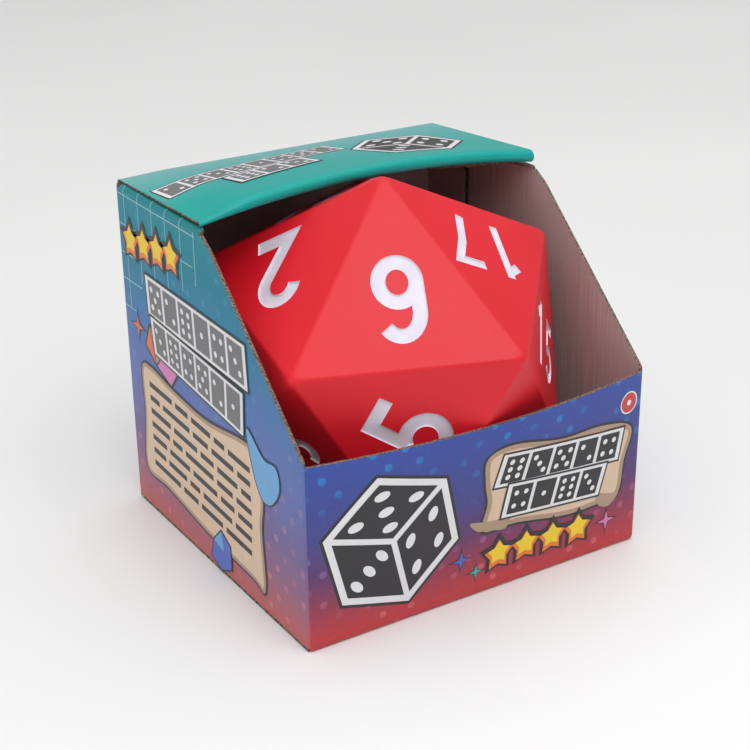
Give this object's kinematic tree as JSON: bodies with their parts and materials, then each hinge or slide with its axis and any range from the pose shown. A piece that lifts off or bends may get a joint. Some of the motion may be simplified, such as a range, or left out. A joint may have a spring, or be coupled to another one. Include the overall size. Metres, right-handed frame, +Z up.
{
  "type": "giant foam die in display carton",
  "caption": "Giant soft foam many-sided throwing die with sunk white numerals, standing in a printed corrugated carton with a cut-away slanted front",
  "frame": {"origin": "middle of the carton's base, on the floor", "axes": "X right along the front wall, Y from the front wall to the back wall, Z up"},
  "size_m": [0.165, 0.1728, 0.1687],
  "materials": {
    "front_print": "colour print on coated liner: blue fading to red with dots",
    "left_print": "colour print on coated liner: teal fading through blue to red",
    "right_print": "colour print on coated liner: teal fading through blue to red",
    "back_print": "colour print on coated liner: teal fading through blue to red",
    "lid_print": "teal colour print on coated liner",
    "plain_liner": "unprinted liner with fine flute lines",
    "board_edge": "cut edge of corrugated board",
    "red_skin": "matte moulded foam skin",
    "red_foam": "open soft foam",
    "numeral_paint": "matte white paint"
  },
  "bodies": {
    "carton_walls": {"front_wall": "front_print", "back_wall": "back_print", "left_wall": "left_print", "right_wall": "right_print", "glue_tab": "plain_liner"},
    "die": {"die_skin": "red_skin", "die_foam_core": "red_foam", "numeral_01_paint": "numeral_paint", "numeral_02_paint": "numeral_paint", "numeral_03_paint": "numeral_paint", "numeral_04_paint": "numeral_paint", "numeral_05_paint": "numeral_paint", "numeral_06_paint": "numeral_paint", "numeral_07_paint": "numeral_paint", "numeral_08_paint": "numeral_paint", "numeral_09_paint": "numeral_paint", "numeral_10_tens": "numeral_paint", "numeral_10_units": "numeral_paint", "numeral_11_tens": "numeral_paint", "numeral_11_units": "numeral_paint", "numeral_12_tens": "numeral_paint", "numeral_12_units": "numeral_paint", "numeral_13_tens": "numeral_paint", "numeral_13_units": "numeral_paint", "numeral_14_tens": "numeral_paint", "numeral_14_units": "numeral_paint", "numeral_15_tens": "numeral_paint", "numeral_15_units": "numeral_paint", "numeral_16_tens": "numeral_paint", "numeral_16_units": "numeral_paint", "numeral_17_tens": "numeral_paint", "numeral_17_units": "numeral_paint", "numeral_18_tens": "numeral_paint", "numeral_18_units": "numeral_paint", "numeral_19_tens": "numeral_paint", "numeral_19_units": "numeral_paint", "numeral_20_tens": "numeral_paint", "numeral_20_units": "numeral_paint"},
    "lid": {"lid_panel": "lid_print"},
    "lid_tuck_flap": {"lid_tuck_flap": "plain_liner"},
    "left_dust_flap": {"left_dust_flap": "plain_liner"},
    "right_dust_flap": {"right_dust_flap": "plain_liner"},
    "bottom_panel": {"bottom_panel": "plain_liner"},
    "bottom_tuck_flap": {"bottom_tuck_flap": "plain_liner"},
    "left_bottom_flap": {"left_bottom_flap": "plain_liner"},
    "right_bottom_flap": {"right_bottom_flap": "plain_liner"}
  },
  "joints": [
    {"name": "die_lift", "type": "slide", "parent": "carton_walls", "child": "die", "axis": [0, 0, 1], "range_m": [0, 0.154]},
    {"name": "lid_hinge", "type": "hinge", "parent": "carton_walls", "child": "lid", "pos_m": [0, 0.0795, 0.152], "axis": [-1, 0, 0], "range_deg": [0, 180]},
    {"name": "lid_tuck_fold", "type": "hinge", "parent": "lid", "child": "lid_tuck_flap", "pos_m": [0, 0.0009, 0.1525], "axis": [-1, 0, 0], "range_deg": [0, 90]},
    {"name": "left_dust_flap_hinge", "type": "hinge", "parent": "carton_walls", "child": "left_dust_flap", "pos_m": [-0.0825, 0.037, 0.152], "axis": [0, -1, 0], "range_deg": [0, 234]},
    {"name": "right_dust_flap_hinge", "type": "hinge", "parent": "carton_walls", "child": "right_dust_flap", "pos_m": [0.0825, 0.037, 0.152], "axis": [0, 1, 0], "range_deg": [0, 234]},
    {"name": "bottom_panel_hinge", "type": "hinge", "parent": "carton_walls", "child": "bottom_panel", "pos_m": [0, -0.078, 0], "axis": [-1, 0, 0], "range_deg": [0, 110]},
    {"name": "bottom_tuck_fold", "type": "hinge", "parent": "bottom_panel", "child": "bottom_tuck_flap", "pos_m": [0, 0.0755, 0.0015], "axis": [1, 0, 0], "range_deg": [0, 28]},
    {"name": "left_bottom_flap_hinge", "type": "hinge", "parent": "carton_walls", "child": "left_bottom_flap", "pos_m": [-0.081, -0.005, 0.0018], "axis": [0, 1, 0], "range_deg": [0, 110]},
    {"name": "right_bottom_flap_hinge", "type": "hinge", "parent": "carton_walls", "child": "right_bottom_flap", "pos_m": [0.081, -0.005, 0.0018], "axis": [0, -1, 0], "range_deg": [0, 110]}
  ],
  "couplings": [
    {"joint": "lid_hinge", "follows": "die_lift", "rad_per_m": 20.39},
    {"joint": "lid_tuck_fold", "follows": "die_lift", "rad_per_m": 10.19},
    {"joint": "left_dust_flap_hinge", "follows": "die_lift", "rad_per_m": 26.5},
    {"joint": "right_dust_flap_hinge", "follows": "die_lift", "rad_per_m": 26.5},
    {"joint": "bottom_tuck_fold", "follows": "bottom_panel_hinge", "ratio": 0.25},
    {"joint": "left_bottom_flap_hinge", "follows": "bottom_panel_hinge", "ratio": 1},
    {"joint": "right_bottom_flap_hinge", "follows": "bottom_panel_hinge", "ratio": 1}
  ]
}
